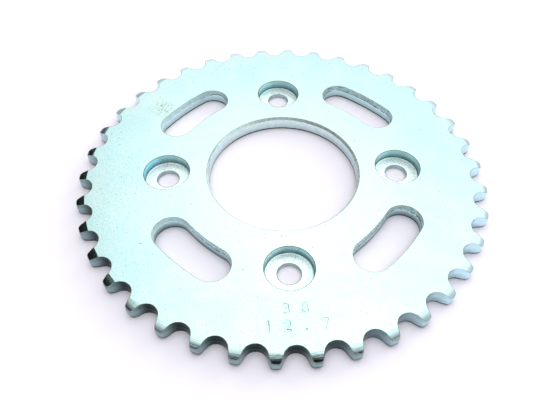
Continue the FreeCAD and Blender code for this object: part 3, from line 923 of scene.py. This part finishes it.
def make_camera():
    """The viewpoint: above and in front of the plate, close enough for strong perspective."""
    ahead = Vector((math.sin(CAMERA_AZIMUTH), math.cos(CAMERA_AZIMUTH), 0)) * math.cos(CAMERA_ELEVATION)
    ahead.z = -math.sin(CAMERA_ELEVATION)
    right = Vector((math.cos(CAMERA_AZIMUTH), -math.sin(CAMERA_AZIMUTH), 0))
    up = right.cross(ahead)
    leaned_right = right * math.cos(CAMERA_ROLL) + up * math.sin(CAMERA_ROLL)
    leaned_up = leaned_right.cross(ahead)
    pose = Matrix((leaned_right, leaned_up, -ahead)).transposed().to_4x4()
    pose.translation = (CAMERA_TARGET - ahead * CAMERA_DISTANCE) * MM
    camera = bpy.data.objects.new("camera", bpy.data.cameras.new("camera"))
    camera.data.lens = CAMERA_LENS
    camera.data.sensor_width = CAMERA_SENSOR
    camera.data.clip_start = CAMERA_NEAR * MM
    camera.matrix_world = pose
    bpy.context.scene.collection.objects.link(camera)
    bpy.context.scene.camera = camera


def make_floor():
    """A wide pale floor under the rear face."""
    reach = FLOOR_REACH * MM
    height = LOW.z - FLOOR_GAP * MM
    mesh = bpy.data.meshes.new("floor")
    corners = [(x * reach, y * reach, height) for x, y in ((-1, -1), (1, -1), (1, 1), (-1, 1))]
    mesh.from_pydata(corners, [], [(0, 1, 2, 3)])
    mesh.materials.append(floor_paint())
    floor = bpy.data.objects.new("floor", mesh)
    bpy.context.scene.collection.objects.link(floor)


def direction(azimuth, elevation):
    """A unit vector from the plate: azimuth 0 is +Y and 90 is +X."""
    round_z = math.radians(azimuth)
    rise = math.radians(elevation)
    return Vector((math.sin(round_z) * math.cos(rise), math.cos(round_z) * math.cos(rise), math.sin(rise)))


# Each soft light that the metal mirrors: azimuth, elevation, inner and outer angle in degrees, brightness
LOBES = (
    (55, 0, 84, 91, 0.9),
    (0, 70, 8, 36, 0.72),
    (68, 32, 8, 36, 0.25),
    (-100, 68, 8, 26, 0.8),
    (180, 18, 12, 30, 0.6),
)
ROOM_LEVEL = 0.02
ROOM_TINT = (0.93, 1.0, 1.0, 1.0)
BACKDROP = (0.97, 0.97, 0.98, 1.0)


def make_world():
    """What the metal mirrors, which is brightest behind and on the right, and a pale backdrop."""
    world = bpy.data.worlds.new("studio")
    world.use_nodes = True
    world.cycles_visibility.diffuse = False
    tree = world.node_tree
    links = tree.links
    place = tree.nodes.new("ShaderNodeTexCoord").outputs["Generated"]
    level = None
    for azimuth, elevation, inner, outer, brightness in LOBES:
        facing = tree.nodes.new("ShaderNodeVectorMath")
        facing.operation = "DOT_PRODUCT"
        facing.inputs[1].default_value = direction(azimuth, elevation)
        links.new(place, facing.inputs[0])
        fade = tree.nodes.new("ShaderNodeMapRange")
        fade.interpolation_type = "SMOOTHSTEP"
        fade.inputs["From Min"].default_value = math.cos(math.radians(outer))
        fade.inputs["From Max"].default_value = math.cos(math.radians(inner))
        fade.inputs["To Max"].default_value = brightness
        links.new(facing.outputs["Value"], fade.inputs["Value"])
        total = tree.nodes.new("ShaderNodeMath")
        total.operation = "ADD"
        total.inputs[1].default_value = ROOM_LEVEL
        links.new(fade.outputs["Result"], total.inputs[0])
        if level is not None:
            links.new(level, total.inputs[1])
        level = total.outputs[0]
    room = tree.nodes["Background"]
    room.inputs["Color"].default_value = ROOM_TINT
    links.new(level, room.inputs["Strength"])
    backdrop = tree.nodes.new("ShaderNodeBackground")
    backdrop.inputs["Color"].default_value = BACKDROP
    path = tree.nodes.new("ShaderNodeLightPath")
    blend = tree.nodes.new("ShaderNodeMixShader")
    links.new(path.outputs["Is Camera Ray"], blend.inputs["Fac"])
    links.new(room.outputs["Background"], blend.inputs[1])
    links.new(backdrop.outputs["Background"], blend.inputs[2])
    links.new(blend.outputs["Shader"], tree.nodes["World Output"].inputs["Surface"])
    bpy.context.scene.world = world


def soft_sun(name, azimuth, elevation, spread, strength):
    """A broad even light from a patch of sky, which the metal doesn't mirror."""
    lamp = bpy.data.lights.new(name, "SUN")
    lamp.angle = math.radians(spread)
    lamp.energy = strength
    made = bpy.data.objects.new(name, lamp)
    made.rotation_mode = "QUATERNION"
    made.rotation_quaternion = direction(azimuth, elevation).to_track_quat("Z", "Y")
    made.visible_glossy = False
    bpy.context.scene.collection.objects.link(made)


# Each broad light: its name, azimuth, elevation and spread in degrees, and strength
SUNS = (
    ("overcast", 0, 90, 172, 0.9),
    ("ceiling", 0, 90, 60, 1.7),
    ("window", 30, 60, 112, 2.3),
    ("far_window", 52, 20, 30, 1.3),
)


def make_lights():
    """An even sky with a brighter middle, and two windows behind on the right, one of them low."""
    for sun in SUNS:
        soft_sun(*sun)


def main():
    """Build the plate and the stage."""
    materials = {
        "plated_face": plated_face(),
        "turned_relief": turned_relief(),
        "tooth_wall": tooth_walls(),
        "slot_wall": walls("slot_wall", BURNISHED, TORN, 0.25, (0.8, 0.25)),
        "bore_wall": walls("bore_wall", BORE_TINT, TORN_BORE, 0.22, (0.0, 0.15)),
        "ledge": ledge(),
        # The rear roll's dark tint is painted shade.
        "shaded_rolled_edge": dull_edge("shaded_rolled_edge", ROLLED_SHADE),
        "burred_edge": dull_edge("burred_edge", BURR),
        "drilled_hole": dull_edge("drilled_hole", DRILLED),
        "machined_seat": machined_seat(),
        "counterbore_wall": counterbore_wall(),
    }
    plate = make_plate(materials)
    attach(plate, "root")
    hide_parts(NODE)
    make_floor()
    make_world()
    make_lights()
    make_camera()
    bpy.context.scene.view_settings.view_transform = "Standard"


main()
